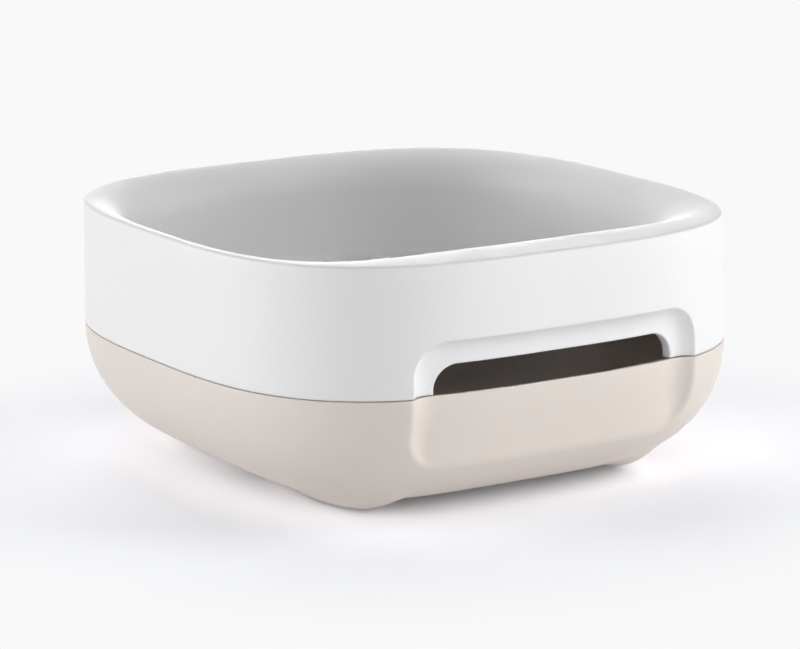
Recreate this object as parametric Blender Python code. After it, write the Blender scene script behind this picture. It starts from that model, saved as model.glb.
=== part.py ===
"""A compact two-piece soap dish: a white upper dish that lifts off a beige water tray on four pads.

Metres, +Z up. The origin is on the surface that the dish stands on, under the middle of its plan,
and the pouring slot faces -Y.
"""

import math

import bmesh
import bpy

# Plan outline, a squared-off oval: |x / half width| ^ power + |y / half length| ^ power = 1
HALF_WIDTH = 0.0500
HALF_LENGTH = 0.0535
OUTLINE_POWER = 3.17
UNDERSIDE_POWER = 4.9
COLUMNS = 80

# Heights above the surface that the dish stands on
HEIGHT = 0.0460
SEAM_HEIGHT = 0.0236
UNDERSIDE_HEIGHT = 0.0014

# Walls, and the clearances between separate pieces
SKIRT_WALL = 0.0022
BOWL_WALL = 0.0022
BOWL_FLOOR_THICKNESS = 0.0019
TRAY_WALL = 0.0022
TRAY_FLOOR_THICKNESS = 0.0022
SEAT_GAP = 0.0003
SIDE_GAP = 0.0003

# Rim of the upper dish: a rolled edge, narrow at the sides and the back, with a shelf at the front
EDGE_ROUND = 0.0005
RIM_SIDE = 0.0041
RIM_FRONT = 0.0138
OPENING_POWER = 2.77
SHELF_HALF_WIDTH = 0.0131
SHELF_FADE = 0.0273
ROLL_POWER = 2.4
SHELF_POWER = 6.3
ROLL_DEPTH = 0.0030
ROLL_DEPTH_SHARE = 0.6
ROLL_STEPS = 6

# Bowl below the rim: a steep wall, leaning more at the front to keep clear of the pouring slot
BOWL_LEAN = 0.0030
BOWL_LEAN_FRONT = 0.0045
BOWL_FILLET = 0.0020
BOWL_FILLET_FRONT = 0.0060
BOWL_FILLET_SHARE = 0.7
BOWL_LIFT = 0.0005
FILLET_STEPS = 3

# Raised ribs and drain slots in the floor of the bowl
RIB_PITCH = 0.0090
RIB_SIDE_MARGIN = 0.0024
RIB_HEIGHT = 0.0020
RIB_FOOT_WIDTH = 0.0032
RIB_TOP_WIDTH = 0.0020
RIB_END_SLOPE = 0.0020
RIB_ROOT = 0.0006
RIB_MARGIN = 0.0020
SLOT_WIDTH = 0.0032
SLOT_BRIDGE = 0.0080
SLOT_MARGIN = 0.0060

# Finger recess across the seam at the front, and the pouring slot in it
RECESS_HALF_WIDTH = 0.0286
RECESS_ABOVE_SEAM = 0.0095
RECESS_BELOW_SEAM = 0.0129
RECESS_TOP_CORNER = 0.0062
RECESS_FOOT_CORNER = 0.0068
RECESS_DEPTH = 0.0024
POUR_HALF_WIDTH = 0.0233
POUR_HEIGHT = 0.0050
POUR_CORNER = 0.0044

# Tray: how far its wall tucks in below the seam, and the lip that centres the upper dish
TRAY_TUCK = 0.0250
TUCK_POWER = 2.0
TUCK_STEPS = 9
LIP_WALL = 0.0011
LIP_HEIGHT = 0.0025
LEDGE_DROP = 0.0010
LEDGE_SLOPE = 0.0022
LIP_NOTCH_MARGIN = 0.0030
LIP_NOTCH_SUNK = 0.0001

# Feet moulded into the tray, and the non-slip pads set into them
FOOT_INSET_X = 0.0239
FOOT_INSET_Y = 0.0335
FOOT_SPAN_X = 0.0077
FOOT_SPAN_Y = 0.0228
FOOT_FLAT_SHARE = 0.35
UNDERSIDE_RING_SHARES = (0.93, 0.85, 0.76, 0.66, 0.54, 0.40)
PAD_RADIUS = 0.0030
PAD_PROUD = 0.0004
PAD_SUNK = 0.0008
PAD_EDGE = 0.0003
PAD_SEGMENTS = 24

# Cutters run past what they cut by this much, and round cuts have this many steps a quarter turn
OVERRUN = 0.0020
QUARTER_STEPS = 5
SHARP_ANGLE = math.radians(35.0)

SKIRT_BOTTOM = SEAM_HEIGHT + SEAT_GAP / 2
TRAY_TOP = SEAM_HEIGHT - SEAT_GAP / 2
BOWL_FLOOR_HEIGHT = SKIRT_BOTTOM + BOWL_LIFT + BOWL_FLOOR_THICKNESS
OPENING_HALF_WIDTH = HALF_WIDTH - EDGE_ROUND - RIM_SIDE
OPENING_HALF_LENGTH = HALF_LENGTH - EDGE_ROUND - (RIM_FRONT + RIM_SIDE) / 2
OPENING_SHIFT = (RIM_FRONT - RIM_SIDE) / 2
ROLL_DEPTH_FRONT = ROLL_DEPTH + ROLL_DEPTH_SHARE * (RIM_FRONT - RIM_SIDE)
FILLET_LIMIT = BOWL_FILLET_SHARE * (HEIGHT - ROLL_DEPTH_FRONT - BOWL_FLOOR_HEIGHT)
WALL_FILLET = min(BOWL_FILLET, FILLET_LIMIT)
WALL_FILLET_FRONT = min(BOWL_FILLET_FRONT, FILLET_LIMIT)
FLOOR_HALF_WIDTH = OPENING_HALF_WIDTH - BOWL_LEAN - WALL_FILLET
FLOOR_HALF_LENGTH = OPENING_HALF_LENGTH - BOWL_LEAN - WALL_FILLET
FLOOR_FRONT_LENGTH = OPENING_HALF_LENGTH - BOWL_LEAN_FRONT - WALL_FILLET_FRONT
RIB_PAIRS = int((FLOOR_HALF_WIDTH - RIB_SIDE_MARGIN - RIB_FOOT_WIDTH / 2) / RIB_PITCH)
FOOT_X = HALF_WIDTH - FOOT_INSET_X
FOOT_Y = HALF_LENGTH - FOOT_INSET_Y


def clear_scene():
    for thing in list(bpy.data.objects):
        bpy.data.objects.remove(thing)


def material(name, colour, roughness):
    made = bpy.data.materials.new(name)
    made.use_nodes = True
    shader = made.node_tree.nodes["Principled BSDF"]
    shader.inputs["Base Color"].default_value = (*colour, 1.0)
    shader.inputs["Roughness"].default_value = roughness
    shader.inputs["Metallic"].default_value = 0.0
    return made


# Meshes


def add_object(name, work, finish=None):
    """Make an object from a bmesh, with every face pointing out."""
    bmesh.ops.recalc_face_normals(work, faces=work.faces)
    mesh = bpy.data.meshes.new(name)
    work.to_mesh(mesh)
    work.free()
    thing = bpy.data.objects.new(name, mesh)
    bpy.context.scene.collection.objects.link(thing)
    if finish:
        mesh.materials.append(finish)
    return thing


def skin_rings(work, rings):
    """Close a run of equal rings into one body, with a fan over each end."""
    rows = [[work.verts.new(point) for point in ring] for ring in rings]
    for lower, upper in zip(rows, rows[1:]):
        for i, corner in enumerate(lower):
            j = (i + 1) % len(lower)
            work.faces.new((corner, lower[j], upper[j], upper[i]))
    for row in (rows[0], rows[-1]):
        middle = [sum(vert.co[axis] for vert in row) / len(row) for axis in range(3)]
        hub = work.verts.new(middle)
        for i, corner in enumerate(row):
            work.faces.new((corner, row[(i + 1) % len(row)], hub))


def loft(name, rings, finish=None):
    work = bmesh.new()
    skin_rings(work, rings)
    return add_object(name, work, finish)


def loft_group(name, runs):
    """Several separate lofted bodies in one object."""
    work = bmesh.new()
    for rings in runs:
        skin_rings(work, rings)
    return add_object(name, work)


def combine(base, other, operation):
    """Cut, join or intersect base with other, and use other up."""
    step = base.modifiers.new(operation.lower(), "BOOLEAN")
    step.operation = operation
    step.solver = "EXACT"
    step.object = other
    bpy.context.view_layer.update()
    shaped = base.evaluated_get(bpy.context.evaluated_depsgraph_get())
    mesh = bpy.data.meshes.new_from_object(shaped)
    base.modifiers.clear()
    base.data = mesh
    bpy.data.objects.remove(other)
    return base


def shade(thing):
    thing.data.shade_smooth()
    thing.data.set_sharp_from_angle(angle=SHARP_ANGLE)


# Outlines


def smooth(share):
    share = min(max(share, 0.0), 1.0)
    return share * share * (3.0 - 2.0 * share)


def oval_point(column, half_x, half_y, height, power, centre_y=0.0):
    """A point of a squared-off oval, by direction from the oval's own centre."""
    turn = 2.0 * math.pi * column / COLUMNS
    across, along = math.cos(turn), math.sin(turn)
    reach = (abs(across / half_x) ** power + abs(along / half_y) ** power) ** (-1.0 / power)
    return reach * across, centre_y + reach * along, height


def outline(inset, height, power=OUTLINE_POWER):
    half_x, half_y = HALF_WIDTH - inset, HALF_LENGTH - inset
    return [oval_point(i, half_x, half_y, height, power) for i in range(COLUMNS)]


def opening_point(column, grow, height):
    """A point of the bowl's rounder outline, which is set back from the front, larger by grow."""
    half_x, half_y = OPENING_HALF_WIDTH + grow, OPENING_HALF_LENGTH + grow
    return oval_point(column, half_x, half_y, height, OPENING_POWER, OPENING_SHIFT)


def front_share(x, y):
    """1 along the shelf at the front of the rim, fading to 0 beside it."""
    return 1.0 - smooth((abs(x) - SHELF_HALF_WIDTH) / SHELF_FADE) if y < 0.0 else 0.0


def moved(rings, shift_y):
    return [[(x, y + shift_y, z) for x, y, z in ring] for ring in rings]


def quarter(steps):
    return [math.pi / 2 * i / steps for i in range(steps + 1)]


def panel(half_width, low, high, low_corner, high_corner, y):
    """An upright rounded rectangle facing the front."""
    points = []
    corners = (
        (half_width - low_corner, low + low_corner, low_corner, 3),
        (half_width - high_corner, high - high_corner, high_corner, 0),
        (high_corner - half_width, high - high_corner, high_corner, 1),
        (low_corner - half_width, low + low_corner, low_corner, 2),
    )
    for x, z, radius, turn in corners:
        for angle in quarter(QUARTER_STEPS):
            angle += turn * math.pi / 2
            points.append((x + radius * math.cos(angle), y, z + radius * math.sin(angle)))
    return points


# Upper dish


def roll_rings(drop, grow):
    """The rim's top surface, from the outer edge down into the bowl."""
    edge = outline(EDGE_ROUND, HEIGHT - drop)
    lip = [opening_point(i, grow, HEIGHT) for i in range(COLUMNS)]
    rings = []
    for angle in quarter(ROLL_STEPS):
        ring = []
        for (x, y, top), (inner_x, inner_y, _) in zip(edge, lip):
            width = math.hypot(inner_x - x, inner_y - y)
            depth = ROLL_DEPTH + ROLL_DEPTH_SHARE * (width - RIM_SIDE)
            power = ROLL_POWER + (SHELF_POWER - ROLL_POWER) * front_share(x, y)
            across = math.sin(angle) ** (2.0 / power)
            down = 1.0 - max(math.cos(angle), 0.0) ** (2.0 / power)
            ring.append((x + (inner_x - x) * across, y + (inner_y - y) * across, top - depth * down))
        rings.append(ring)
    return rings


def bowl_rings(drop, grow):
    """The bowl below the rim: leaning wall, fillet and edge of the floor."""
    floor = BOWL_FLOOR_HEIGHT - drop
    edge = outline(EDGE_ROUND, HEIGHT)
    rings = []
    for angle in quarter(FILLET_STEPS):
        ring = []
        for i, (x, y, _) in enumerate(edge):
            share = front_share(x, y)
            lean = BOWL_LEAN + (BOWL_LEAN_FRONT - BOWL_LEAN) * share
            radius = grow + WALL_FILLET + (WALL_FILLET_FRONT - WALL_FILLET) * share
            inset = lean - grow + radius * (1.0 - math.cos(angle))
            ring.append(opening_point(i, -inset, floor + radius * (1.0 - math.sin(angle))))
        rings.append(ring)
    return rings


def dish_body():
    """The dish as a solid block. It runs on below the skirt, where it is trimmed later."""
    sides = [outline(0.0, SKIRT_BOTTOM - OVERRUN), outline(0.0, HEIGHT - EDGE_ROUND)]
    edge_inset = EDGE_ROUND * (1.0 - math.cos(math.pi / 4))
    sides.append(outline(edge_inset, HEIGHT - edge_inset))
    return sides + roll_rings(0.0, 0.0) + bowl_rings(0.0, 0.0)


def dish_hollow():
    """The space under the rim, between the skirt and the bowl, and under the bowl."""
    space = loft("hollow", [
        outline(SKIRT_WALL, SKIRT_BOTTOM - 2 * OVERRUN),
        outline(SKIRT_WALL, HEIGHT - BOWL_WALL - EDGE_ROUND),
    ])
    rings = roll_rings(BOWL_WALL, BOWL_WALL) + bowl_rings(BOWL_FLOOR_THICKNESS, BOWL_WALL)
    bowl = loft("bowl_outside", rings)
    return combine(space, bowl, "DIFFERENCE")


def recess_form(grow):
    """The recess's rounded outline, larger by grow, run from in front of the dish to behind its wall."""
    front = -HALF_LENGTH - OVERRUN
    back = -HALF_LENGTH + TRAY_TUCK
    low = SEAM_HEIGHT - RECESS_BELOW_SEAM - grow
    high = SEAM_HEIGHT + RECESS_ABOVE_SEAM + grow
    return [
        panel(
            RECESS_HALF_WIDTH + grow, low, high,
            RECESS_FOOT_CORNER + grow, RECESS_TOP_CORNER + grow, y,
        )
        for y in (front, back)
    ]


def sink_dish_recess(dish):
    """Set the skirt back inside the recess's outline, at full wall thickness."""
    heights = (SKIRT_BOTTOM - OVERRUN / 2, HEIGHT - EDGE_ROUND)
    backing = loft("backing", recess_form(SKIRT_WALL))
    block = loft("block", moved([outline(0.0, z) for z in heights], SKIRT_WALL / 2))
    combine(backing, block, "INTERSECT")
    behind = [SKIRT_BOTTOM - OVERRUN, HEIGHT]
    inner = loft("inner", moved([outline(SKIRT_WALL, z) for z in behind], RECESS_DEPTH))
    combine(backing, inner, "DIFFERENCE")
    combine(dish, backing, "UNION")
    cutter = loft("recess", recess_form(0.0))
    face = loft("face", moved([outline(0.0, z) for z in (0.0, HEIGHT)], RECESS_DEPTH))
    combine(cutter, face, "DIFFERENCE")
    return combine(dish, cutter, "DIFFERENCE")


def cut_pour_slot(dish):
    low = SKIRT_BOTTOM - POUR_CORNER
    back = -HALF_LENGTH + RECESS_DEPTH + SKIRT_WALL + OVERRUN
    rings = [
        panel(POUR_HALF_WIDTH, low, SEAM_HEIGHT + POUR_HEIGHT, POUR_CORNER / 2, POUR_CORNER, y)
        for y in (-HALF_LENGTH - OVERRUN, back)
    ]
    return combine(dish, loft("pour_slot", rings), "DIFFERENCE")


def trim_skirt(dish):
    x, y = HALF_WIDTH + OVERRUN, HALF_LENGTH + OVERRUN
    corners = ((x, -y), (x, y), (-x, y), (-x, -y))
    heights = (SKIRT_BOTTOM - 2 * OVERRUN, SKIRT_BOTTOM)
    rings = [[(*corner, z) for corner in corners] for z in heights]
    return combine(dish, loft("trim", rings), "DIFFERENCE")


def floor_reach(x, side, margin):
    """How far the flat floor runs to the front or the back of its middle at x, less a margin."""
    length = FLOOR_HALF_LENGTH if side > 0 else FLOOR_FRONT_LENGTH
    reach = (1.0 - abs(x / FLOOR_HALF_WIDTH) ** OPENING_POWER) ** (1.0 / OPENING_POWER)
    return length * reach - margin


def rib_rings(x):
    outer = abs(x) + RIB_FOOT_WIDTH / 2
    back = OPENING_SHIFT + floor_reach(outer, 1, RIB_MARGIN)
    front = OPENING_SHIFT - floor_reach(outer, -1, RIB_MARGIN)
    rings = []
    for z, half_width, pull in (
        (BOWL_FLOOR_HEIGHT - RIB_ROOT, RIB_FOOT_WIDTH / 2, 0.0),
        (BOWL_FLOOR_HEIGHT + RIB_HEIGHT, RIB_TOP_WIDTH / 2, RIB_END_SLOPE),
    ):
        low, high = front + pull, back - pull
        corners = ((half_width, low), (half_width, high), (-half_width, high), (-half_width, low))
        rings.append([(x + dx, y, z) for dx, y in corners])
    return rings


def slot_rings(x, side):
    """A round-ended drain slot on one side of the bridge across the middle."""
    radius = SLOT_WIDTH / 2
    near = SLOT_BRIDGE / 2 + radius
    far = floor_reach(abs(x) + radius, side, SLOT_MARGIN) - radius
    rings = []
    for z in (BOWL_FLOOR_HEIGHT - BOWL_FLOOR_THICKNESS - OVERRUN, BOWL_FLOOR_HEIGHT + OVERRUN):
        ring = []
        for end, turn in ((far, 0.0), (near, math.pi)):
            for i in range(2 * QUARTER_STEPS + 1):
                angle = turn + math.pi * i / (2 * QUARTER_STEPS)
                dy = end + radius * math.sin(angle)
                ring.append((x + radius * math.cos(angle), OPENING_SHIFT + side * dy, z))
        rings.append(ring)
    return rings


def make_upper_dish(finish):
    dish = loft("upper_dish", dish_body(), finish)
    combine(dish, dish_hollow(), "DIFFERENCE")
    sink_dish_recess(dish)
    trim_skirt(dish)
    cut_pour_slot(dish)
    ribs = [rib_rings(RIB_PITCH * i) for i in range(-RIB_PAIRS, RIB_PAIRS + 1)]
    combine(dish, loft_group("ribs", ribs), "UNION")
    between = [RIB_PITCH * (i + 0.5) for i in range(-RIB_PAIRS, RIB_PAIRS)]
    slots = [slot_rings(x, side) for x in between for side in (-1, 1)]
    combine(dish, loft_group("drain_slots", slots), "DIFFERENCE")
    shade(dish)
    return dish


# Tray


def tuck_rings(wall, bottom, top):
    """The tray's wall, curving in from the seam to the underside or to the inner floor."""
    rings = []
    for angle in quarter(TUCK_STEPS):
        in_share = 1.0 - max(math.cos(angle), 0.0) ** (2.0 / TUCK_POWER)
        down_share = math.sin(angle) ** (2.0 / TUCK_POWER)
        inset = wall + (TRAY_TUCK - wall / 2) * in_share
        power = OUTLINE_POWER + (UNDERSIDE_POWER - OUTLINE_POWER) * (1.0 - math.cos(angle))
        rings.append(outline(inset, top + (bottom - top) * down_share, power))
    return rings


def foot_share(x, y):
    """How much of a foot's full depth is under this point, from 0 to 1."""
    away = math.hypot((abs(x) - FOOT_X) / FOOT_SPAN_X, (abs(y) - FOOT_Y) / FOOT_SPAN_Y)
    return smooth((1.0 - away) / (1.0 - FOOT_FLAT_SHARE))


def with_feet(rings):
    """Lower the underside to the feet, also where the wall begins to turn up."""
    shaped = []
    for ring in rings:
        lowered = []
        for x, y, z in ring:
            low = smooth((SEAM_HEIGHT - z) / (SEAM_HEIGHT - UNDERSIDE_HEIGHT))
            lowered.append((x, y, z - (z - PAD_PROUD) * foot_share(x, y) * low * low))
        shaped.append(lowered)
    return shaped


def tray_outside():
    rings = tuck_rings(0.0, UNDERSIDE_HEIGHT, TRAY_TOP)
    edge = rings[-1]
    for share in UNDERSIDE_RING_SHARES:
        rings.append([(x * share, y * share, z) for x, y, z in edge])
    return with_feet(rings)


def make_lower_tray(finish):
    floor = UNDERSIDE_HEIGHT + TRAY_FLOOR_THICKNESS
    lip_outside = SKIRT_WALL + SIDE_GAP
    lip_inside = lip_outside + LIP_WALL
    outside = tray_outside()
    inside = [
        outline(lip_outside, TRAY_TOP),
        outline(lip_outside, TRAY_TOP + LIP_HEIGHT),
        outline(lip_inside, TRAY_TOP + LIP_HEIGHT),
        outline(lip_inside, TRAY_TOP - LEDGE_DROP),
    ]
    inside += tuck_rings(TRAY_WALL, floor, TRAY_TOP - LEDGE_DROP - LEDGE_SLOPE)
    tray = loft("lower_tray", outside[::-1] + inside, finish)
    sink_tray_recess(tray, floor)
    notch_lip(tray)
    combine(tray, loft_group("pad_pockets", [pocket_rings(x, y) for x, y in foot_places()]), "DIFFERENCE")
    shade(tray)
    return tray


def sink_tray_recess(tray, floor):
    """Set the tray's wall back inside the recess's outline, at full wall thickness."""
    backing = loft("backing", recess_form(TRAY_WALL))
    raised = [outline(0.0, TRAY_TOP + OVERRUN)] + tray_outside()[1:]
    combine(backing, loft("block", moved(raised, TRAY_WALL / 2)), "INTERSECT")
    inner = [outline(TRAY_WALL, HEIGHT)] + tuck_rings(TRAY_WALL, floor, TRAY_TOP)
    combine(backing, loft("inner", moved(inner, RECESS_DEPTH)), "DIFFERENCE")
    combine(tray, backing, "UNION")
    cutter = loft("recess", recess_form(0.0))
    face = [outline(0.0, HEIGHT)] + tray_outside()
    combine(cutter, loft("face", moved(face, RECESS_DEPTH)), "DIFFERENCE")
    return combine(tray, cutter, "DIFFERENCE")


def notch_lip(tray):
    """Leave the lip out behind the recess, where water pours and the skirt is set back."""
    half_width = RECESS_HALF_WIDTH + LIP_NOTCH_MARGIN
    low = TRAY_TOP - LIP_NOTCH_SUNK
    high = TRAY_TOP + LIP_HEIGHT + OVERRUN
    back = -HALF_LENGTH + TRAY_TUCK
    corners = ((half_width, low), (half_width, high), (-half_width, high), (-half_width, low))
    rings = [[(x, y, z) for x, z in corners] for y in (-HALF_LENGTH - OVERRUN, back)]
    return combine(tray, loft("lip_notch", rings), "DIFFERENCE")


# Feet


def foot_places():
    return [(x, y) for y in (-FOOT_Y, FOOT_Y) for x in (-FOOT_X, FOOT_X)]


def disc(x, y, radius, z):
    turns = [2.0 * math.pi * i / PAD_SEGMENTS for i in range(PAD_SEGMENTS)]
    return [(x + radius * math.cos(turn), y + radius * math.sin(turn), z) for turn in turns]


def pocket_rings(x, y):
    radius = PAD_RADIUS + SIDE_GAP
    return [disc(x, y, radius, PAD_PROUD - OVERRUN), disc(x, y, radius, PAD_PROUD + PAD_SUNK + SEAT_GAP)]


def make_pads(finish):
    names = ("front_left", "front_right", "back_left", "back_right")
    for name, (x, y) in zip(names, foot_places()):
        rings = [
            disc(x, y, PAD_RADIUS - PAD_EDGE, 0.0),
            disc(x, y, PAD_RADIUS, PAD_EDGE),
            disc(x, y, PAD_RADIUS, PAD_PROUD + PAD_SUNK),
        ]
        shade(loft("foot_pad_" + name, rings, finish))


clear_scene()
make_upper_dish(material("white_plastic", (0.86, 0.86, 0.87), 0.42))
make_lower_tray(material("beige_plastic", (0.75, 0.69, 0.63), 0.45))
make_pads(material("grey_rubber", (0.16, 0.155, 0.15), 0.8))
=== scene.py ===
"""Looks of the soap dish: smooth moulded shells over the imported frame, a studio and the camera."""

import math

import bmesh
import bpy
import numpy as np
from mathutils import Matrix, Vector
from mathutils.geometry import delaunay_2d_cdt


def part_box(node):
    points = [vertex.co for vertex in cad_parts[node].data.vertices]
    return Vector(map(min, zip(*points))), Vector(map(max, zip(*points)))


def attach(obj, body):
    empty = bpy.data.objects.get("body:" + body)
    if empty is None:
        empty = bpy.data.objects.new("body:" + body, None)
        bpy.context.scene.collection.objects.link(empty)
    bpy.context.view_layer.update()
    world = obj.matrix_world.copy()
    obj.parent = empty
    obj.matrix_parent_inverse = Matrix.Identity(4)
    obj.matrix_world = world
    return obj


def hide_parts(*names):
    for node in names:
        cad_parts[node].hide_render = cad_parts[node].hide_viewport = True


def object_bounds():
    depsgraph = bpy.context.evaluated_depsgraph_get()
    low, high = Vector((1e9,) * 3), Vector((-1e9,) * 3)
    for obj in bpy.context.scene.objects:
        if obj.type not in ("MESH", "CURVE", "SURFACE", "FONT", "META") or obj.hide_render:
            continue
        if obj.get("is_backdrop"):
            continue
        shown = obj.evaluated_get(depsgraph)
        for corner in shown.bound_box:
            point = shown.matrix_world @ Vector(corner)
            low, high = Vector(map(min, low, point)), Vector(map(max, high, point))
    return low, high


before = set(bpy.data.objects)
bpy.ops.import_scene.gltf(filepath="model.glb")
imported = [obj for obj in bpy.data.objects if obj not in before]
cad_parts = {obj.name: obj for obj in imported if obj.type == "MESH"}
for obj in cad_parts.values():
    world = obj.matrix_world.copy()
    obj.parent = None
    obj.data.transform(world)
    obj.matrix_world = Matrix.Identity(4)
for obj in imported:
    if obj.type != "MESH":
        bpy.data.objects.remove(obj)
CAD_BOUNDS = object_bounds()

# Sizes read from the frame
DISH_LOW, DISH_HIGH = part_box("upper_dish")
TRAY_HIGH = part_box("lower_tray")[1]
HALF_WIDTH = DISH_HIGH[0]
HALF_LENGTH = DISH_HIGH[1]
HEIGHT = DISH_HIGH[2]
LIP_HEIGHT = 0.0025
SEAM_HEIGHT = (DISH_LOW[2] + TRAY_HIGH[2] - LIP_HEIGHT) / 2
SEAM_GAP = 0.00012
SKIRT_BOTTOM = SEAM_HEIGHT + SEAM_GAP / 2
TRAY_TOP = SEAM_HEIGHT - SEAM_GAP / 2

# Plan outline and walls, as in the solids, with a draft on the skirt and a thinner bowl wall
OUTLINE_POWER = 3.17
UNDERSIDE_POWER = 4.9
SKIRT_WALL = 0.0022
SKIRT_DRAFT = 0.0004
BOWL_WALL = 0.0019
BOWL_LIFT = 0.0005
TRAY_WALL = 0.0022
TRAY_FLOOR_THICKNESS = 0.0022
UNDERSIDE_HEIGHT = 0.0014
BOWL_FLOOR_HEIGHT = DISH_LOW[2] + BOWL_LIFT + BOWL_WALL

# Rim and bowl
EDGE_ROUND = 0.0005
RIM_SIDE = 0.0062
RIM_FRONT = 0.0149
OPENING_POWER = 2.72
SHELF_HALF_WIDTH = 0.0097
SHELF_FADE = 0.0368
ROLL_POWER = 1.97
SHELF_POWER = 5.1
ROLL_DEPTH = 0.0062
ROLL_DEPTH_SHARE = 0.36
BOWL_LEAN = 0.0005
BOWL_LEAN_FRONT = 0.0030
BOWL_FILLET = 0.0020
BOWL_FILLET_FRONT = 0.0060
RIM_UNDER_FRONT = 0.0030
RIM_UNDER_SIDE = 0.0070
MERGE_STEP = 0.0002
RIM_INSET = SKIRT_DRAFT + EDGE_ROUND
OPENING_HALF_WIDTH = HALF_WIDTH - RIM_INSET - RIM_SIDE
OPENING_HALF_LENGTH = HALF_LENGTH - RIM_INSET - (RIM_FRONT + RIM_SIDE) / 2
OPENING_SHIFT = (RIM_FRONT - RIM_SIDE) / 2

# Recess and pouring slot
RECESS_HALF_WIDTH = 0.02825
FRONT_SHIFT = 0.0005
RECESS_ABOVE = 0.0095
RECESS_BELOW = 0.0129
RECESS_TOP_CORNER = 0.0062
RECESS_FOOT_CORNER = 0.0068
RECESS_DEPTH = 0.0024
DISH_COVE = 0.0055
DISH_COVE_POWER = 4
TRAY_COVE = 0.0065
TRAY_COVE_POWER = 3
RECESS_FLOOR_LEAN = 0.0022
RECESS_FLOOR_POWER = 1.5
RECESS_FLOOR_REACH = 1.3
DISH_EDGE_SOFTNESS = 0.00016
TRAY_EDGE_SOFTNESS = 0.0007
POUR_HALF_WIDTH = 0.0238
POUR_HEIGHT = 0.0050
POUR_CORNER = 0.0044
POUR_REACH = SEAM_HEIGHT + POUR_HEIGHT - SKIRT_BOTTOM
SLOT_EDGE = 0.00035
SEAM_EDGE = 0.00015
BORDER_MARGIN = 0.0100

# Tray
TRAY_TUCK = 0.0250
TUCK_POWER = 2.0
LIP_INSET = 0.0025
LIP_WALL = 0.0011
LIP_CROWN_SHARE = 0.25
LIP_NOTCH_HALF_WIDTH = 0.0316
LIP_NOTCH_FADE = 0.0015
NOTCH_EDGE = 0.0006
NOTCH_DROP = 0.0009
LEDGE_DROP = 0.0010
LEDGE_SLOPE = 0.0022
FOOT_INSET_X = 0.0239
FOOT_INSET_Y = 0.0335
FOOT_X = HALF_WIDTH - FOOT_INSET_X
FOOT_Y = HALF_LENGTH - FOOT_INSET_Y
FOOT_SPAN_X = 0.0077
FOOT_SPAN_Y = 0.0228
FOOT_FLAT_SHARE = 0.35
PAD_PROUD = 0.0004

# How finely the shells are divided
SIDE_STEPS = 12
CORNER_STEPS = 12
ACROSS_STEPS = 56
AROUND_STEPS = 300
EDGE_STEPS = 5
SKIRT_STEPS = 5
INNER_SKIRT_STEPS = 3
RIM_EDGE_STEPS = 6
ROLL_STEPS = 24
WALL_STEPS = 16
WALL_UNDER_STEPS = 12
FILLET_STEPS = 8
FIRST_SLOPE = 0.2
SLOPE_ROUNDS = 40
LIP_STEPS = 4
TUCK_STEPS = 30
UNDERSIDE_STEPS = 50
TRAY_FLOOR_STEPS = 20
HUB_SHARE = 0.02
PAD_STEPS = 64
WELD_DISTANCE = 1e-9

# Where rings of points lie between the slot, the recess's outline and the plain wall
BORDER_SHARES = (0.2, 0.45, 0.7, 1.0)
COVE_SHARES = (1.0, 0.72, 0.5, 0.32, 0.18)
OUTLINE_SHARES = (-1.0, -0.6, -0.2, 0.2, 0.6, 1.0)
COVE_CLEARANCE_SHARE = 1.2
OUTLINE_MARGIN = 0.0005
SLOT_MARGIN = 0.00025
DISH_RINGS_REACH = 0.0028
TRAY_RINGS_REACH = 0.0050
SCOOP_START_SHARE = 0.70
SCOOP_SHARES = (0.05, 0.15, 0.32, 0.52, 0.76)


# Points and faces


class Skin:
    """Points and faces of one closed shell, joined from rows of points."""

    def __init__(self):
        self.points = []
        self.faces = []

    def row(self, points):
        first = len(self.points)
        self.points.extend(tuple(float(c) for c in point) for point in points)
        return list(range(first, first + len(points)))

    def strip(self, lower, upper, closed=True):
        for i in range(len(lower) if closed else len(lower) - 1):
            j = (i + 1) % len(lower)
            self.faces.append((lower[i], lower[j], upper[j], upper[i]))

    def rows(self, rings, start=None, closed=True):
        """Add rings one by one, each joined to the one before, and give back the last."""
        last = start
        for ring in rings:
            added = self.row(ring)
            if last is not None:
                self.strip(last, added, closed)
            last = added
        return last

    def plate(self, border, holes):
        """Fill a flat border round flat holes. Each is a row of points that exists."""
        loops = [border] + holes
        index = [i for loop in loops for i in loop]
        flat = [Vector(self.points[i][:2]) for i in index]
        polygons, first = [], 0
        for loop in loops:
            polygons.append(list(range(first, first + len(loop))))
            first += len(loop)
        _, _, faces, origins, _, inside = delaunay_2d_cdt(flat, [], polygons, 1, WELD_DISTANCE)
        for face, owners in zip(faces, inside):
            if owners == [0]:
                self.faces.append(tuple(index[origins[i][0]] for i in face))

    def make(self, name):
        mesh = bpy.data.meshes.new(name)
        mesh.from_pydata(self.points, [], self.faces)
        work = bmesh.new()
        work.from_mesh(mesh)
        bmesh.ops.recalc_face_normals(work, faces=work.faces)
        work.to_mesh(mesh)
        work.free()
        mesh.shade_smooth()
        thing = bpy.data.objects.new(name, mesh)
        bpy.context.scene.collection.objects.link(thing)
        return thing


def smooth(share):
    share = np.clip(share, 0.0, 1.0)
    return share * share * (3.0 - 2.0 * share)


def quarter(steps):
    return [math.pi / 2 * i / steps for i in range(steps + 1)]


def edge_offsets(radius):
    """Distances from an edge at which its rounding is sampled."""
    return [radius * (1.0 - math.cos(angle)) for angle in quarter(EDGE_STEPS)]


def edge_inset(distance, radius):
    """How far the rounding of an edge draws the surface back, at a distance from the edge."""
    short = np.clip(radius - distance, 0.0, radius)
    return radius - np.sqrt(radius * radius - short * short)


# Outlines


def reach_of(directions, half_x, half_y, power):
    across, along = np.abs(np.cos(directions)), np.abs(np.sin(directions))
    return ((across / half_x) ** power + (along / half_y) ** power) ** (-1.0 / power)


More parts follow.
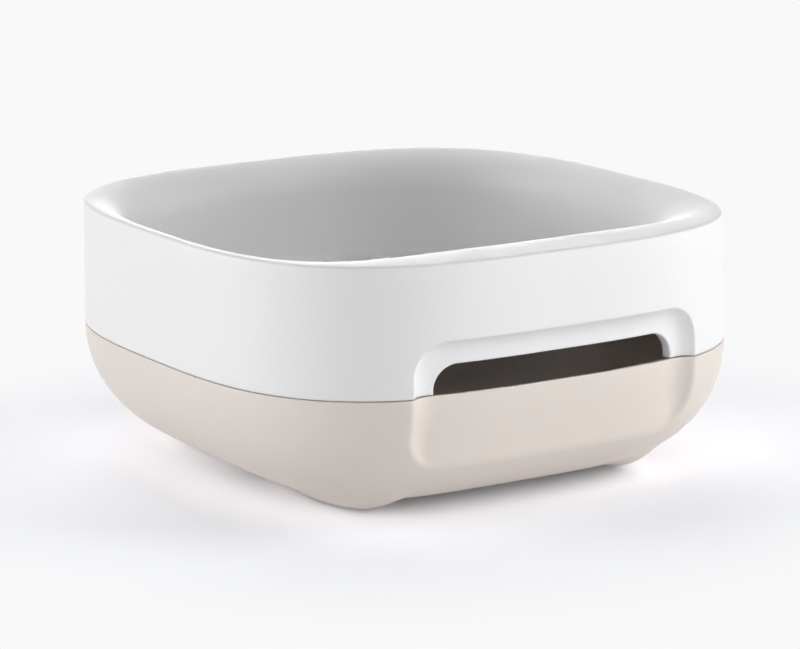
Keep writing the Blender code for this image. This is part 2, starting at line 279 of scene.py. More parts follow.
def outline(directions, inset, z, power=OUTLINE_POWER):
    reach = reach_of(directions, HALF_WIDTH - inset, HALF_LENGTH - inset, power)
    return stack(reach * np.cos(directions), reach * np.sin(directions), z)


def draft(z):
    """How far the skirt leans in at a height above the seam."""
    return SKIRT_DRAFT * (z - SKIRT_BOTTOM) / (HEIGHT - EDGE_ROUND - SKIRT_BOTTOM)


def opening(directions, grow, z):
    half_x, half_y = OPENING_HALF_WIDTH + grow, OPENING_HALF_LENGTH + grow
    reach = reach_of(directions, half_x, half_y, OPENING_POWER)
    return stack(reach * np.cos(directions), OPENING_SHIFT + reach * np.sin(directions), z)


def stack(x, y, z):
    return np.stack(np.broadcast_arrays(x, y, z), axis=-1)


def front_line(x, inset, power=OUTLINE_POWER):
    """Where the outline runs along the front, for places across it."""
    share = np.abs(x / (HALF_WIDTH - inset)) ** power
    return -(HALF_LENGTH - inset) * (1.0 - share) ** (1.0 / power)


def rest_ring(half_width, inset, z, power=OUTLINE_POWER):
    """The outline round the sides and the back, between two places on the front."""
    start = math.atan2(front_line(half_width, inset, power), half_width)
    turns = start + np.arange(1, AROUND_STEPS) / AROUND_STEPS * (math.pi - 2.0 * start)
    return outline(turns, inset, z, power)


def directions_of(points):
    return np.array([math.atan2(y, x) for x, y, _ in points])


# Recess


def recess_distance(x, z):
    """Distance from the recess's rounded outline, below zero inside it."""
    above = z > SEAM_HEIGHT
    corner = np.where(above, RECESS_TOP_CORNER, RECESS_FOOT_CORNER)
    height = np.where(above, RECESS_ABOVE, RECESS_BELOW)
    dx = np.abs(x - FRONT_SHIFT) - (RECESS_HALF_WIDTH - corner)
    dz = np.abs(z - SEAM_HEIGHT) - (height - corner)
    outside = np.hypot(np.maximum(dx, 0.0), np.maximum(dz, 0.0))
    return outside + np.minimum(np.maximum(dx, dz), 0.0) - corner


def softened(depth, softness):
    """Depth below an edge, with the edge itself rounded off."""
    bent = (depth + softness) ** 2 / (4.0 * softness)
    return np.where(depth < -softness, 0.0, np.where(depth > softness, depth, bent))


def cove(x, z, softness, reach, power):
    """The recess's sides: steepest at the outline, level further in."""
    run = np.minimum(softened(-recess_distance(x, z), softness) / reach, 1.0)
    return RECESS_DEPTH * (1.0 - (1.0 - run) ** power)


def dish_recess(x, z):
    return cove(x, z, DISH_EDGE_SOFTNESS, DISH_COVE, DISH_COVE_POWER)


def tuck_angle(z, top, bottom):
    share = np.clip((top - z) / (top - bottom), 0.0, 1.0)
    return np.arcsin(share ** (TUCK_POWER / 2.0))


def tuck_inset(angle, wall=0.0):
    level = np.maximum(np.cos(angle), 0.0) ** (2.0 / TUCK_POWER)
    return wall + (TRAY_TUCK - wall / 2) * (1.0 - level)


def tuck_height(angle, top, bottom):
    return top + (bottom - top) * np.sin(angle) ** (2.0 / TUCK_POWER)


def tuck_outline_power(angle):
    return OUTLINE_POWER + (UNDERSIDE_POWER - OUTLINE_POWER) * (1.0 - np.cos(angle))


def tray_recess(x, z):
    """The scoop in the tray: a leaning floor that runs out where the wall tucks in past it."""
    down = np.clip((SEAM_HEIGHT - z) / RECESS_BELOW, 0.0, RECESS_FLOOR_REACH)
    wall = tuck_inset(tuck_angle(z, TRAY_TOP, UNDERSIDE_HEIGHT))
    floor = RECESS_DEPTH + RECESS_FLOOR_LEAN * down ** RECESS_FLOOR_POWER - wall
    floor = softened(floor, TRAY_EDGE_SOFTNESS / 2)
    side = cove(x, z, TRAY_EDGE_SOFTNESS, TRAY_COVE, TRAY_COVE_POWER)
    blend = TRAY_EDGE_SOFTNESS / 2
    mixed = np.clip(0.5 + 0.5 * (side - floor) / blend, 0.0, 1.0)
    return side * (1.0 - mixed) + floor * mixed - blend * mixed * (1.0 - mixed) / 2


# Front patch: rings of points that follow the slot and the recess


def arch(half_width, reach, corner, edge, margin=None):
    """Points up one side, round a corner, across and down again.

    Each is a place across and a reach from the seam.
    """
    straight = reach - corner
    near = [offset * min(1.0, straight / (2.0 * edge)) for offset in edge_offsets(edge)]
    rest = SIDE_STEPS - EDGE_STEPS
    sides = near + [near[-1] + (straight - near[-1]) * i / rest for i in range(1, rest)]
    spread = margin or corner
    half = [(-half_width if not margin else -(half_width - corner) - margin, up) for up in sides]
    for i in range(CORNER_STEPS):
        angle = math.pi / 2 * i / CORNER_STEPS
        out, up = math.cos(angle), math.sin(angle)
        size = spread / (max(out, up) if margin else 1.0)
        half.append((-(half_width - corner) - size * out, straight + size * up))
    middle = ACROSS_STEPS // 2
    for i in range(middle + 1):
        half.append((-(half_width - corner) * (1.0 - i / middle), straight + spread))
    return np.array(half + [(-x, up) for x, up in half[-2::-1]])


BORDER_CORNER = SIDE_STEPS + CORNER_STEPS // 2


def build_wall(skin, arches, gaps, edge, place, ring_at):
    """Skin a wall whose front follows the arches. Gives back its edge row and its far row."""
    rows = []
    for points, gap in zip(arches, gaps):
        near = np.minimum(gap, points[:, 1])
        rows.append(skin.row(place(points[:, 0], points[:, 1], near)))
    for inner, outer in zip(rows, rows[1:]):
        skin.strip(inner, outer, closed=False)
    border = rows[-1]
    side = None
    first_side = None
    for j in range(BORDER_CORNER + 1):
        up = arches[-1][j, 1]
        added = skin.row(ring_at(up))
        level = [border[-1 - j]] + added + [border[j]]
        if side is None:
            first_side = added
        else:
            skin.strip(side, level, closed=False)
        side = level
    left, right = [row[0] for row in rows[:0:-1]], [row[-1] for row in rows[1:]]
    edge_row = left + rows[0] + right + first_side
    far_row = border[BORDER_CORNER:len(border) - BORDER_CORNER] + side[1:-1]
    return edge_row, far_row


def recess_rings(reach, corner, softness, first):
    """Arches along the recess's outline, from inside it to outside."""
    steps = [first * share for share in COVE_SHARES]
    steps = [-step for step in steps if step > softness * COVE_CLEARANCE_SHARE]
    steps += [softness * share for share in OUTLINE_SHARES]
    steps.append(softness + OUTLINE_MARGIN)
    return [(RECESS_HALF_WIDTH + d, reach + d, corner + d) for d in steps]


# Upper dish


def dish_arches():
    slot_rings = edge_offsets(SLOT_EDGE) + [SLOT_EDGE + SLOT_MARGIN]
    sizes = [(POUR_HALF_WIDTH + e, POUR_REACH + e, POUR_CORNER + e) for e in slot_rings]
    reach = SEAM_HEIGHT + RECESS_ABOVE - SKIRT_BOTTOM
    sizes += recess_rings(reach, RECESS_TOP_CORNER, DISH_EDGE_SOFTNESS, DISH_RINGS_REACH)
    arches = [arch(*size, SEAM_EDGE) + (FRONT_SHIFT, 0.0) for size in sizes]
    border = arch(*sizes[-1], SEAM_EDGE, BORDER_MARGIN)
    for share in BORDER_SHARES:
        arches.append(arches[len(sizes) - 1] * (1.0 - share) + border * share)
    gaps = slot_rings + [HALF_WIDTH] * (len(arches) - len(slot_rings))
    return arches, gaps


def dish_wall(skin, arches, gaps, inner):
    half_width = -arches[-1][0, 0]

    def inset(near):
        back = edge_inset(near, SLOT_EDGE)
        return SKIRT_WALL - back if inner else back

    def place(x, up, near):
        z = SKIRT_BOTTOM + up
        return stack(x, front_line(x, inset(near) + draft(z)) + dish_recess(x, z), z)

    def ring_at(up):
        z = SKIRT_BOTTOM + up
        return rest_ring(half_width, inset(up) + draft(z), z)

    return build_wall(skin, arches, gaps, SEAM_EDGE, place, ring_at)


def front_share(edge):
    """1 along the shelf at the front of the rim, fading to 0 beside it."""
    fade = 1.0 - smooth((np.abs(edge[:, 0]) - SHELF_HALF_WIDTH) / SHELF_FADE)
    return np.where(edge[:, 1] < 0.0, fade, 0.0)


class Bowl:
    """The bowl's upright section in each direction: rolled rim, leaning wall, fillet and floor."""

    def __init__(self, turns):
        self.turns = turns
        self.edge = outline(turns, RIM_INSET, HEIGHT)
        self.span = opening(turns, 0.0, HEIGHT) - self.edge
        self.width = np.hypot(self.span[:, 0], self.span[:, 1])
        self.depth = ROLL_DEPTH + ROLL_DEPTH_SHARE * (self.width - RIM_SIDE)
        share = front_share(self.edge)
        self.power = ROLL_POWER + (SHELF_POWER - ROLL_POWER) * share
        self.radius = BOWL_FILLET + (BOWL_FILLET_FRONT - BOWL_FILLET) * share
        self.foot = BOWL_LEAN + (BOWL_LEAN_FRONT - BOWL_LEAN) * share + self.radius
        self.slope = np.zeros(len(turns)) + FIRST_SLOPE
        for _ in range(SLOPE_ROUNDS):
            steepness = self.width / (self.depth * np.tan(self.slope))
            self.last = np.arctan(steepness ** (1.0 / (self.power - 1.0)))
            self.across, down = self.rolled(1.0)
            self.start = HEIGHT - self.depth * down
            run = (1.0 - self.across) * self.width + self.foot - self.radius * np.cos(self.slope)
            fall = self.start - BOWL_FLOOR_HEIGHT - self.radius * (1.0 - np.sin(self.slope))
            self.slope = (self.slope + np.arctan(run / fall)) / 2

    def rolled(self, share):
        """Shares of the rim's width and depth at a share of the roll.

        The roll ends as steep as the wall.
        """
        side, up = np.sin(self.last * share), np.cos(self.last * share)
        size = (side ** self.power + up ** self.power) ** (1.0 / self.power)
        return side / size, 1.0 - up / size

    def roll(self, steps):
        rings = []
        for i in range(1, steps + 1):
            across, down = self.rolled(i / steps)
            ring = self.edge + self.span * across[:, None]
            ring[:, 2] = HEIGHT - self.depth * down
            rings.append(ring)
        return rings

    def inner(self, grow, z):
        """A ring that begins where the roll ends, larger by grow."""
        ring = opening(self.turns, grow, z)
        ring[:, :2] -= (self.span * (1.0 - self.across)[:, None])[:, :2]
        return ring

    def wall_ring(self, z, wall):
        """A ring of the wall's inside, or with its thickness of the outside."""
        return self.inner(wall / np.cos(self.slope) - np.tan(self.slope) * (self.start - z), z)

    def rings(self, start, wall, steps):
        """Rings down the wall from a start height and round the fillet to the floor."""
        arc = self.radius + wall
        end = BOWL_FLOOR_HEIGHT + self.radius - arc * np.sin(self.slope)
        rings = [self.wall_ring(start + (end - start) * i / steps, wall) for i in range(1, steps)]
        foot = self.foot + (1.0 - self.across) * self.width
        for i in range(FILLET_STEPS + 1):
            angle = self.slope + (math.pi / 2 - self.slope) * i / FILLET_STEPS
            z = BOWL_FLOOR_HEIGHT + self.radius - arc * np.sin(angle)
            rings.append(self.inner(arc * np.cos(angle) - foot, z))
        return rings


def kept_inside(ring, limit):
    """Draw points in to where the limit ring runs, so that two walls merge instead of crossing."""
    away = np.hypot(ring[:, 0], ring[:, 1])
    most = np.interp(directions_of(ring), *sorted_polar(limit), period=2.0 * math.pi)
    scale = np.minimum(1.0, most / away)
    ring[:, :2] *= scale[:, None]
    return ring


def sorted_polar(ring):
    turns = directions_of(ring)
    order = np.argsort(turns)
    return turns[order], np.hypot(ring[:, 0], ring[:, 1])[order]


def levels(low, high, steps):
    """Heights in even steps above the lower one, up to the higher one."""
    return [low + (high - low) * i / steps for i in range(1, steps + 1)]


def make_dish():
    skin = Skin()
    arches, gaps = dish_arches()
    outer_edge, outer_far = dish_wall(skin, arches, gaps, inner=False)
    inner_edge, inner_far = dish_wall(skin, arches, gaps, inner=True)
    skin.strip(outer_edge, inner_edge)

    far = np.array([skin.points[i] for i in outer_far])
    turns = directions_of(far)
    low, high = far[0, 2], HEIGHT - EDGE_ROUND
    rings = [outline(turns, draft(z), z) for z in levels(low, high, SKIRT_STEPS)]
    for angle in quarter(RIM_EDGE_STEPS)[1:]:
        inset = SKIRT_DRAFT + EDGE_ROUND * (1.0 - math.cos(angle))
        rings.append(outline(turns, inset, high + EDGE_ROUND * math.sin(angle)))
    bowl = Bowl(turns)
    rings += bowl.roll(ROLL_STEPS)
    rings += bowl.rings(bowl.start, 0.0, WALL_STEPS)
    floor_edge = skin.rows(rings, outer_far)

    bowl = Bowl(directions_of(np.array([skin.points[i] for i in inner_far])))
    wide = smooth((bowl.width - RIM_SIDE) / (RIM_FRONT - RIM_SIDE))
    ceiling = HEIGHT - RIM_UNDER_FRONT - (RIM_UNDER_SIDE - RIM_UNDER_FRONT) * (1.0 - wide)
    limit = outline(bowl.turns, SKIRT_DRAFT + SKIRT_WALL + MERGE_STEP, ceiling)
    heights = levels(low, ceiling, INNER_SKIRT_STEPS)
    rings = [outline(bowl.turns, SKIRT_WALL + draft(z), z) for z in heights]
    under = [bowl.wall_ring(ceiling, BOWL_WALL)] + bowl.rings(ceiling, BOWL_WALL, WALL_UNDER_STEPS)
    rings += [kept_inside(ring, limit) for ring in under]
    floor_under = skin.rows(rings, inner_far)
    drained_floor(skin, floor_edge, floor_under)
    return skin.make("upper_dish_shell")


# Ribs and drain slots

RIB_PITCH = 0.0090
RIB_HEIGHT = 0.0020
RIB_HALF_WIDTH = 0.0014
RIB_ROOT = 0.0006
RIB_CROWN = 0.0007
RIB_MARGIN = 0.0020
RIB_PAIRS = 4
DRAIN_HALF_WIDTH = 0.0016
DRAIN_EDGE = 0.0005
DRAIN_BRIDGE = 0.0080
DRAIN_MARGIN = 0.0060
STADIUM_STEPS = 16
CROWN_STEPS = 6
SIDE_SHARES = (0.75, 0.5, 0.25)


def stadium(x, centre_y, half_length, radius, z):
    """Points round a long hole or rib with round ends."""
    points = []
    for side, turn in ((1, 0.0), (-1, math.pi)):
        for i in range(STADIUM_STEPS + 1):
            angle = turn + math.pi * i / STADIUM_STEPS
            y = centre_y + side * (half_length - radius) + radius * math.sin(angle)
            points.append((x + radius * math.cos(angle), y, z))
        for share in SIDE_SHARES:
            y = centre_y + side * (half_length - radius) * (2.0 * share - 1.0)
            points.append((x - side * radius, y, z))
    return points


def floor_ends(x, margin):
    """Where the flat floor begins and ends at x, less a margin."""
    half_x = OPENING_HALF_WIDTH - BOWL_LEAN - BOWL_FILLET
    shape = (1.0 - abs(x / half_x) ** OPENING_POWER) ** (1.0 / OPENING_POWER)
    front = (OPENING_HALF_LENGTH - BOWL_LEAN_FRONT - BOWL_FILLET_FRONT) * shape - margin
    back = (OPENING_HALF_LENGTH - BOWL_LEAN - BOWL_FILLET) * shape - margin
    return OPENING_SHIFT - front, OPENING_SHIFT + back


def rib_profile():
    points = []
    for angle in quarter(EDGE_STEPS):
        points.append((RIB_ROOT * (1.0 - math.sin(angle)), RIB_ROOT * (1.0 - math.cos(angle))))
    for angle in quarter(CROWN_STEPS):
        up = RIB_HEIGHT - RIB_CROWN * (1.0 - math.sin(angle))
        points.append((-RIB_CROWN * (1.0 - math.cos(angle)), up))
    return points


def drain_profile():
    points = []
    for angle in quarter(EDGE_STEPS):
        points.append((DRAIN_EDGE * (1.0 - math.sin(angle)), -DRAIN_EDGE * (1.0 - math.cos(angle))))
    return points + [(out, -BOWL_WALL - down) for out, down in reversed(points)]


def drained_floor(skin, floor_edge, floor_under):
    """The floor's two faces with ribs on the upper one and slots through both."""
    top_holes, under_holes = [], []
    for i in range(-RIB_PAIRS, RIB_PAIRS + 1):
        x = RIB_PITCH * i
        front, back = floor_ends(abs(x) + RIB_HALF_WIDTH + RIB_ROOT, RIB_MARGIN)
        rings = []
        for grow, up in rib_profile():
            size = ((back - front) / 2 + grow, RIB_HALF_WIDTH + grow)
            rings.append(stadium(x, (front + back) / 2, *size, BOWL_FLOOR_HEIGHT + up))
        top_holes.append(skin.row(rings[0]))
        skin.faces.append(tuple(skin.rows(rings[1:], top_holes[-1])))
    for i in range(-RIB_PAIRS, RIB_PAIRS):
        x = RIB_PITCH * (i + 0.5)
        front, back = floor_ends(abs(x) + DRAIN_HALF_WIDTH, DRAIN_MARGIN)
        for far, bridge in ((front, -DRAIN_BRIDGE / 2), (back, DRAIN_BRIDGE / 2)):
            near = OPENING_SHIFT + bridge
            middle = (far + near) / 2
            half_length = abs(far - near) / 2
            rings = []
            for grow, up in drain_profile():
                size = (half_length + grow, DRAIN_HALF_WIDTH + grow)
                rings.append(stadium(x, middle, *size, BOWL_FLOOR_HEIGHT + up))
            top_holes.append(skin.row(rings[0]))
            under_holes.append(skin.rows(rings[1:], top_holes[-1]))
    skin.plate(floor_edge, top_holes)
    skin.plate(floor_under, under_holes)


# Tray


def tray_arches():
    seam_rings = edge_offsets(SEAM_EDGE)
    start = RECESS_HALF_WIDTH * SCOOP_START_SHARE
    full = SEAM_HEIGHT - RECESS_BELOW
    reach = TRAY_TOP - full
    inner = recess_rings(reach, RECESS_FOOT_CORNER, TRAY_EDGE_SOFTNESS, TRAY_RINGS_REACH)
    sizes = [(start + e, e, e / 2) for e in seam_rings[1:]]
    last_width, last_reach, last_corner = inner[0]
    for share in SCOOP_SHARES:
        width = start + (last_width - start) * share
        sizes.append((width, last_reach * share + SEAM_EDGE, last_corner * share))
    sizes += inner
    arches = [arch(*size, SEAM_EDGE) + (FRONT_SHIFT, 0.0) for size in sizes]
    line = arches[0].copy()
    line[:, 0] = np.linspace(-start, start, len(line)) + FRONT_SHIFT
    line[:, 1] = 0.0
    border = arch(*sizes[-1], SEAM_EDGE, BORDER_MARGIN)
    between = [arches[-1] * (1.0 - share) + border * share for share in BORDER_SHARES]
    return [line] + arches + between


def foot_share(x, y):
    away = np.hypot((np.abs(x) - FOOT_X) / FOOT_SPAN_X, (np.abs(y) - FOOT_Y) / FOOT_SPAN_Y)
    return smooth((1.0 - away) / (1.0 - FOOT_FLAT_SHARE))


def with_feet(ring):
    low = smooth((SEAM_HEIGHT - ring[:, 2]) / (SEAM_HEIGHT - UNDERSIDE_HEIGHT))
    ring = ring.copy()
    ring[:, 2] -= (ring[:, 2] - PAD_PROUD) * foot_share(ring[:, 0], ring[:, 1]) * low * low
    return ring


def drawn_to_hub(ring, steps):
    """Copies of a level ring, each smaller than the one before, down to a small hub."""
    return [ring * (share, share, 1.0) for share in np.linspace(1.0, HUB_SHARE, steps)[1:]]


def make_tray():
    skin = Skin()
    arches = tray_arches()
    half_width = -arches[-1][0, 0]

    def place(x, down, near):
        z = TRAY_TOP - down
        angle = tuck_angle(z, TRAY_TOP, UNDERSIDE_HEIGHT)
        inset = tuck_inset(angle) + edge_inset(down, SEAM_EDGE)
        y = front_line(x, inset, tuck_outline_power(angle))
        return with_feet(stack(x, y + tray_recess(x, z), z))

    def ring_at(down):
        z = TRAY_TOP - down
        angle = tuck_angle(z, TRAY_TOP, UNDERSIDE_HEIGHT)
        inset = tuck_inset(angle) + edge_inset(down, SEAM_EDGE)
        return with_feet(rest_ring(half_width, float(inset), z, float(tuck_outline_power(angle))))

    gaps = [HALF_WIDTH] * len(arches)
    edge, far = build_wall(skin, arches, gaps, SEAM_EDGE, place, ring_at)

    row = np.array([skin.points[i] for i in far])
    turns = directions_of(row)
    first = float(tuck_angle(TRAY_TOP - arches[-1][BORDER_CORNER, 1], TRAY_TOP, UNDERSIDE_HEIGHT))
    rings = []
    for i in range(1, TUCK_STEPS + 1):
        angle = first + (math.pi / 2 - first) * i / TUCK_STEPS
        z = tuck_height(angle, TRAY_TOP, UNDERSIDE_HEIGHT)
        rings.append(outline(turns, tuck_inset(angle), z, tuck_outline_power(angle)))
    rings += drawn_to_hub(rings[-1], UNDERSIDE_STEPS)
    hub = skin.rows([with_feet(ring) for ring in rings], far)
    skin.faces.append(tuple(hub))

    inside = tray_inside(directions_of(np.array([skin.points[i] for i in edge])))
    hub = skin.rows(inside, edge)
    skin.faces.append(tuple(hub))
    return skin.make("lower_tray_shell")


def tray_inside(turns):
    """Rings over the tray's top edge and its locating lip, down the inside to the floor."""
    floor = UNDERSIDE_HEIGHT + TRAY_FLOOR_THICKNESS
    base = outline(turns, 0.0, TRAY_TOP)
    beside = (np.abs(base[:, 0]) - LIP_NOTCH_HALF_WIDTH) / LIP_NOTCH_FADE
    full = smooth(np.where(base[:, 1] < 0.0, beside, 1.0))
    lip = LIP_HEIGHT * full - NOTCH_DROP * (1.0 - full)
    crown = LIP_WALL * LIP_CROWN_SHARE
    rings = [outline(turns, NOTCH_EDGE, TRAY_TOP)]
    rings.append(outline(turns, LIP_INSET, TRAY_TOP + np.minimum(lip, 0.0)))
    for angle in quarter(LIP_STEPS):
        up = np.clip(lip / 2, 0.0, crown)
        inset = LIP_INSET + crown * (1.0 - math.cos(angle))
        rings.append(outline(turns, inset, TRAY_TOP + lip - up * (1.0 - math.sin(angle))))
    for angle in quarter(LIP_STEPS)[::-1]:
        up = np.clip(lip / 2, 0.0, crown)
        inset = LIP_INSET + LIP_WALL - crown * (1.0 - math.cos(angle))
        rings.append(outline(turns, inset, TRAY_TOP + lip - up * (1.0 - math.sin(angle))))
    rings.append(outline(turns, LIP_INSET + LIP_WALL, TRAY_TOP - LEDGE_DROP))
    top = TRAY_TOP - LEDGE_DROP - LEDGE_SLOPE
    for angle in quarter(TUCK_STEPS):
        z = tuck_height(angle, top, floor)
        rings.append(outline(turns, tuck_inset(angle, TRAY_WALL), z, tuck_outline_power(angle)))
    rings += drawn_to_hub(rings[-1], TRAY_FLOOR_STEPS)
    for ring in rings:
        front = ring[:, 1] < 0.0
        ring[:, 1] += np.where(front, tray_recess(ring[:, 0], ring[:, 2]), 0.0)
    return rings


# Pads

PAD_RADIUS = 0.0030
PAD_HEIGHT = 0.0011
PAD_EDGE = 0.0003
PAD_SHARES = (0.1, 0.4, 0.7)


def make_pad(name, x, y):
    skin = Skin()
    turns = np.arange(PAD_STEPS) * 2.0 * math.pi / PAD_STEPS
    profile = [(PAD_RADIUS * share, 0.0) for share in PAD_SHARES]
    for angle in quarter(EDGE_STEPS):
        radius = PAD_RADIUS - PAD_EDGE * (1.0 - math.sin(angle))
        profile.append((radius, PAD_EDGE * (1.0 - math.cos(angle))))
    profile += [(PAD_RADIUS, PAD_HEIGHT), (PAD_RADIUS * PAD_SHARES[0], PAD_HEIGHT)]
    rings = [stack(x + r * np.cos(turns), y + r * np.sin(turns), z) for r, z in profile]
    first = skin.row(rings[0])
    skin.faces.append(tuple(first))
    skin.faces.append(tuple(skin.rows(rings[1:], first)))
    return skin.make(name)


# Materials

# Between these lies most of what a noise gives
NOISE_LOW = 0.3
NOISE_HIGH = 0.7


def node(tree, kind, **values):
    made = tree.nodes.new(kind)
    for name, value in values.items():
        if name in made.inputs:
            made.inputs[name].default_value = value
        else:
            setattr(made, name, value)
    return made


def noise(tree, place, scale, detail):
    made = node(tree, "ShaderNodeTexNoise", Scale=scale, Detail=detail)
    tree.links.new(place.outputs["Object"], made.inputs["Vector"])
    return made


def ranged(tree, source, low, high):
    made = node(tree, "ShaderNodeMapRange")
    made.inputs["From Min"].default_value = NOISE_LOW
    made.inputs["From Max"].default_value = NOISE_HIGH
    made.inputs["To Min"].default_value = low
    made.inputs["To Max"].default_value = high
    tree.links.new(source, made.inputs["Value"])
    return made


# Each material's lighter and darker tone
WHITE_TONES = ((0.872, 0.870, 0.878), (0.856, 0.854, 0.862))
BEIGE_TONES = ((0.785, 0.720, 0.665), (0.765, 0.700, 0.645))
RUBBER_TONES = ((0.20, 0.195, 0.19), (0.14, 0.135, 0.13))

# Each finish: roughness, grain in cells per metre, depth of the grain, specular level
PLASTIC_FINISH = (0.5, 3600.0, 0.00004, 0.5)
RUBBER_FINISH = (0.8, 2600.0, 0.00006, 0.3)

# Slow noises in cells per metre, with their detail
DRIFT = (38.0, 3.0)
POLISH = (160.0, 4.0)
POLISH_SPREAD = 0.05
GRAIN_DETAIL = 2.0
GRAIN_STRENGTH = 0.35


def moulded_plastic(name, light, dark, roughness, grain_scale, grain_depth, specular):
    """Satin moulded plastic: slow drifts of tone, a fine spark-eroded grain and uneven polish."""
    made = bpy.data.materials.new(name)
    made.use_nodes = True
    tree = made.node_tree
    shader = tree.nodes["Principled BSDF"]
    place = node(tree, "ShaderNodeTexCoord")
    drift = noise(tree, place, *DRIFT)
    tone = node(tree, "ShaderNodeMix")
    tone.data_type = "RGBA"
    tone.inputs[6].default_value = (*dark, 1.0)
    tone.inputs[7].default_value = (*light, 1.0)
    tree.links.new(ranged(tree, drift.outputs["Fac"], 0.0, 1.0).outputs["Result"], tone.inputs[0])
    tree.links.new(tone.outputs[2], shader.inputs["Base Color"])
    polish = noise(tree, place, *POLISH)
    worn = ranged(tree, polish.outputs["Fac"], roughness - POLISH_SPREAD, roughness + POLISH_SPREAD)
    tree.links.new(worn.outputs["Result"], shader.inputs["Roughness"])
    grain = noise(tree, place, grain_scale, GRAIN_DETAIL)
    bump = node(tree, "ShaderNodeBump")
    bump.inputs["Strength"].default_value = GRAIN_STRENGTH
    bump.inputs["Distance"].default_value = grain_depth
    tree.links.new(grain.outputs["Fac"], bump.inputs["Height"])
    tree.links.new(bump.outputs["Normal"], shader.inputs["Normal"])
    shader.inputs["Specular IOR Level"].default_value = specular
    return made


# Studio

FLOOR_HALF = 3.0
PALE_FLOOR = (0.90, 0.90, 0.925)
FLOOR_ROUGHNESS = 0.9
CLEAR_WHITE = (0.947, 0.947, 0.947)
SHADOW_REACH = (0.05, 0.115)
SEEN_FLOOR = (1.44, 1.47, 1.55)


def seen_directly(tree):
    """1 for what the camera sees, also in a reflection or through a clear surface."""
    path = node(tree, "ShaderNodeLightPath")
    total = path.outputs["Is Camera Ray"]
    for name in ("Is Glossy Ray", "Is Transmission Ray"):
        added = node(tree, "ShaderNodeMath", operation="ADD")
        added.use_clamp = True
        tree.links.new(total, added.inputs[0])
        tree.links.new(path.outputs[name], added.inputs[1])
        total = added.outputs[0]
    return total


def plain_floor():
    """A pale floor with the shadow near the dish, which turns to the plain backdrop further out."""
    mesh = bpy.data.meshes.new("floor")
    signs = ((-1, -1), (1, -1), (1, 1), (-1, 1))
    corners = [(FLOOR_HALF * x, FLOOR_HALF * y, 0.0) for x, y in signs]
    mesh.from_pydata(corners, [], [(0, 1, 2, 3)])
    floor = bpy.data.objects.new("floor", mesh)
    bpy.context.scene.collection.objects.link(floor)
    made = bpy.data.materials.new("pale_floor")
    made.use_nodes = True
    tree = made.node_tree
    shader = tree.nodes["Principled BSDF"]
    shader.inputs["Base Color"].default_value = (*PALE_FLOOR, 1.0)
    shader.inputs["Roughness"].default_value = FLOOR_ROUGHNESS
    shader.inputs["Specular IOR Level"].default_value = 0.0
    glow = node(tree, "ShaderNodeEmission")
    glow.inputs["Color"].default_value = (*CLEAR_WHITE, 1.0)
    place = node(tree, "ShaderNodeTexCoord")
    length = node(tree, "ShaderNodeVectorMath", operation="LENGTH")
    tree.links.new(place.outputs["Object"], length.inputs[0])
    far = node(tree, "ShaderNodeMapRange", interpolation_type="SMOOTHSTEP")
    far.inputs["From Min"].default_value = SHADOW_REACH[0]
    far.inputs["From Max"].default_value = SHADOW_REACH[1]
    tree.links.new(length.outputs["Value"], far.inputs["Value"])
    bright = node(tree, "ShaderNodeBsdfDiffuse")
    bright.inputs["Color"].default_value = (*SEEN_FLOOR, 1.0)
    seen = node(tree, "ShaderNodeMixShader")
    tree.links.new(far.outputs["Result"], seen.inputs[0])
    tree.links.new(bright.outputs[0], seen.inputs[1])
    tree.links.new(glow.outputs[0], seen.inputs[2])
    mix = node(tree, "ShaderNodeMixShader")
    tree.links.new(seen_directly(tree), mix.inputs[0])
    tree.links.new(shader.outputs[0], mix.inputs[1])
    tree.links.new(seen.outputs[0], mix.inputs[2])
    tree.links.new(mix.outputs[0], tree.nodes["Material Output"].inputs["Surface"])
    mesh.materials.append(made)
    floor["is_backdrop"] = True


WORLD_LEVEL = 0.0


def plain_world():
    world = bpy.data.worlds.new("plain_world")
    bpy.context.scene.world = world
    world.use_nodes = True
    tree = world.node_tree
    light = tree.nodes["Background"]
    light.inputs["Color"].default_value = (1.0, 1.0, 1.0, 1.0)
    light.inputs["Strength"].default_value = WORLD_LEVEL
    seen = node(tree, "ShaderNodeBackground")
    seen.inputs["Color"].default_value = (*CLEAR_WHITE, 1.0)
    mix = node(tree, "ShaderNodeMixShader")
    tree.links.new(seen_directly(tree), mix.inputs[0])
    tree.links.new(light.outputs[0], mix.inputs[1])
    tree.links.new(seen.outputs[0], mix.inputs[2])
    tree.links.new(mix.outputs[0], tree.nodes["World Output"].inputs["Surface"])


# Softboxes round the dish, a metre from it: degrees round from the front, degrees up, size, power.
# Some stand low beside it, as a bright table edge would, and higher ones look into the bowl.
LAMP_TARGET = (0.0, 0.0, 0.02)
LAMPS = [
    (-120, 7, (0.5, 0.16), 2.65),
    (60, 7, (0.5, 0.16), 1.75),
    (150, 7, (0.5, 0.16), 1.25),
    (-120, 30, (0.6, 0.5), 2.2),
    (-32, 30, (0.6, 0.5), 2.0),
    (60, 30, (0.6, 0.5), 2.9),
    (160, 30, (0.6, 0.5), 1.6),
    (150, 60, (0.6, 0.6), 1.1),
    (-120, 2.2, (0.5, 0.06), 0.8),
    (-60, 2.2, (0.5, 0.06), 1.25),
    (0, 2.2, (0.5, 0.06), 0.55),
    (30, 2.2, (0.5, 0.06), 1.4),
    (60, 2.2, (0.5, 0.06), 1.55),
    (150, 2.2, (0.5, 0.06), 0.75),
]


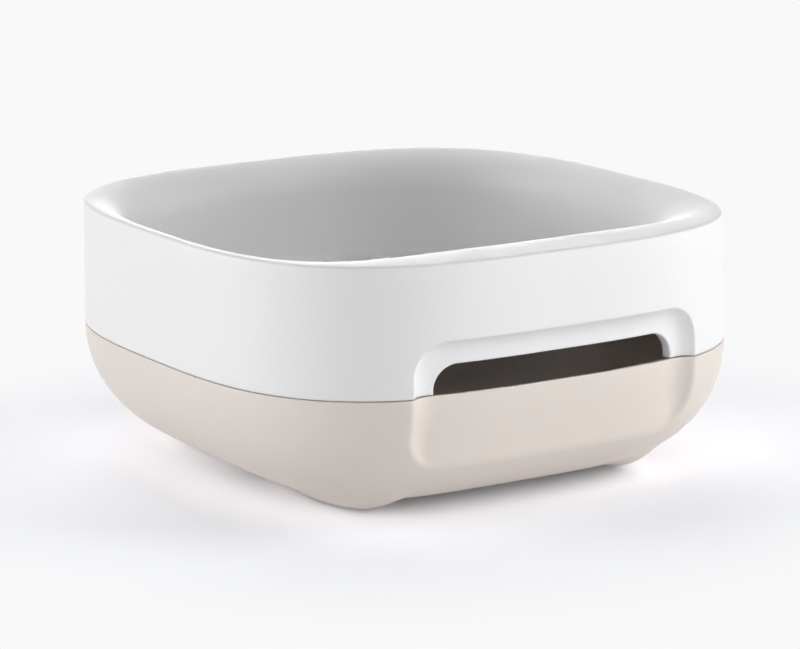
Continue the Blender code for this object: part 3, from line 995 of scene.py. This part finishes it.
def soft_lamp(turn, rise, size, power):
    turn, rise = math.radians(turn), math.radians(rise)
    level = math.cos(rise)
    away = Vector((math.sin(turn) * level, -math.cos(turn) * level, math.sin(rise)))
    data = bpy.data.lights.new("softbox", "AREA")
    data.shape = "RECTANGLE"
    data.size, data.size_y = size
    data.energy = power
    lamp = bpy.data.objects.new("softbox", data)
    lamp.location = Vector(LAMP_TARGET) + away
    lamp.rotation_euler = away.to_track_quat("Z", "Y").to_euler()
    bpy.context.scene.collection.objects.link(lamp)


# Camera: found from the outline, rim, seam and base lines of the photograph

CAMERA_AZIMUTH = math.radians(-30.9757)
CAMERA_ELEVATION = math.radians(12.4711)
CAMERA_ROLL = math.radians(-0.7314)
CAMERA_DISTANCE = 0.51795
CAMERA_TARGET = (-0.05258, -0.08776, 0.04624)
CAMERA_LENS = 156.12
SENSOR_WIDTH = 36.0
CLIP_START = 0.01


def photo_camera():
    level = math.cos(CAMERA_ELEVATION)
    sideways, forwards = math.sin(CAMERA_AZIMUTH) * level, math.cos(CAMERA_AZIMUTH) * level
    back = Vector((sideways, -forwards, math.sin(CAMERA_ELEVATION)))
    right = Vector((0.0, 0.0, 1.0)).cross(back).normalized()
    up = back.cross(right)
    tilted_right = right * math.cos(CAMERA_ROLL) + up * math.sin(CAMERA_ROLL)
    tilted_up = up * math.cos(CAMERA_ROLL) - right * math.sin(CAMERA_ROLL)
    data = bpy.data.cameras.new("photo_camera")
    data.lens = CAMERA_LENS
    data.sensor_width = SENSOR_WIDTH
    data.clip_start = CLIP_START
    camera = bpy.data.objects.new("photo_camera", data)
    turn = Matrix((tilted_right, tilted_up, back)).transposed()
    place = Vector(CAMERA_TARGET) + back * CAMERA_DISTANCE
    camera.matrix_world = Matrix.Translation(place) @ turn.to_4x4()
    bpy.context.scene.collection.objects.link(camera)
    bpy.context.scene.camera = camera


def finish_piece(piece, material, body, node_name):
    piece.data.materials.append(material)
    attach(piece, body)
    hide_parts(node_name)


white = moulded_plastic("white_plastic", *WHITE_TONES, *PLASTIC_FINISH)
beige = moulded_plastic("beige_plastic", *BEIGE_TONES, *PLASTIC_FINISH)
rubber = moulded_plastic("grip_rubber", *RUBBER_TONES, *RUBBER_FINISH)
finish_piece(make_dish(), white, "upper_dish", "upper_dish")
finish_piece(make_tray(), beige, "lower_tray", "lower_tray")
for along, y in (("front", -FOOT_Y), ("back", FOOT_Y)):
    for across, x in (("left", -FOOT_X), ("right", FOOT_X)):
        pad = make_pad("pad_" + along + "_" + across, x, y)
        finish_piece(pad, rubber, "lower_tray", "foot_pad_" + along + "_" + across)

plain_floor()
plain_world()
for lamp in LAMPS:
    soft_lamp(*lamp)
photo_camera()
bpy.context.scene.view_settings.view_transform = "Standard"

sizes = [[list(map(float, corner)) for corner in bounds] for bounds in (CAD_BOUNDS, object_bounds())]
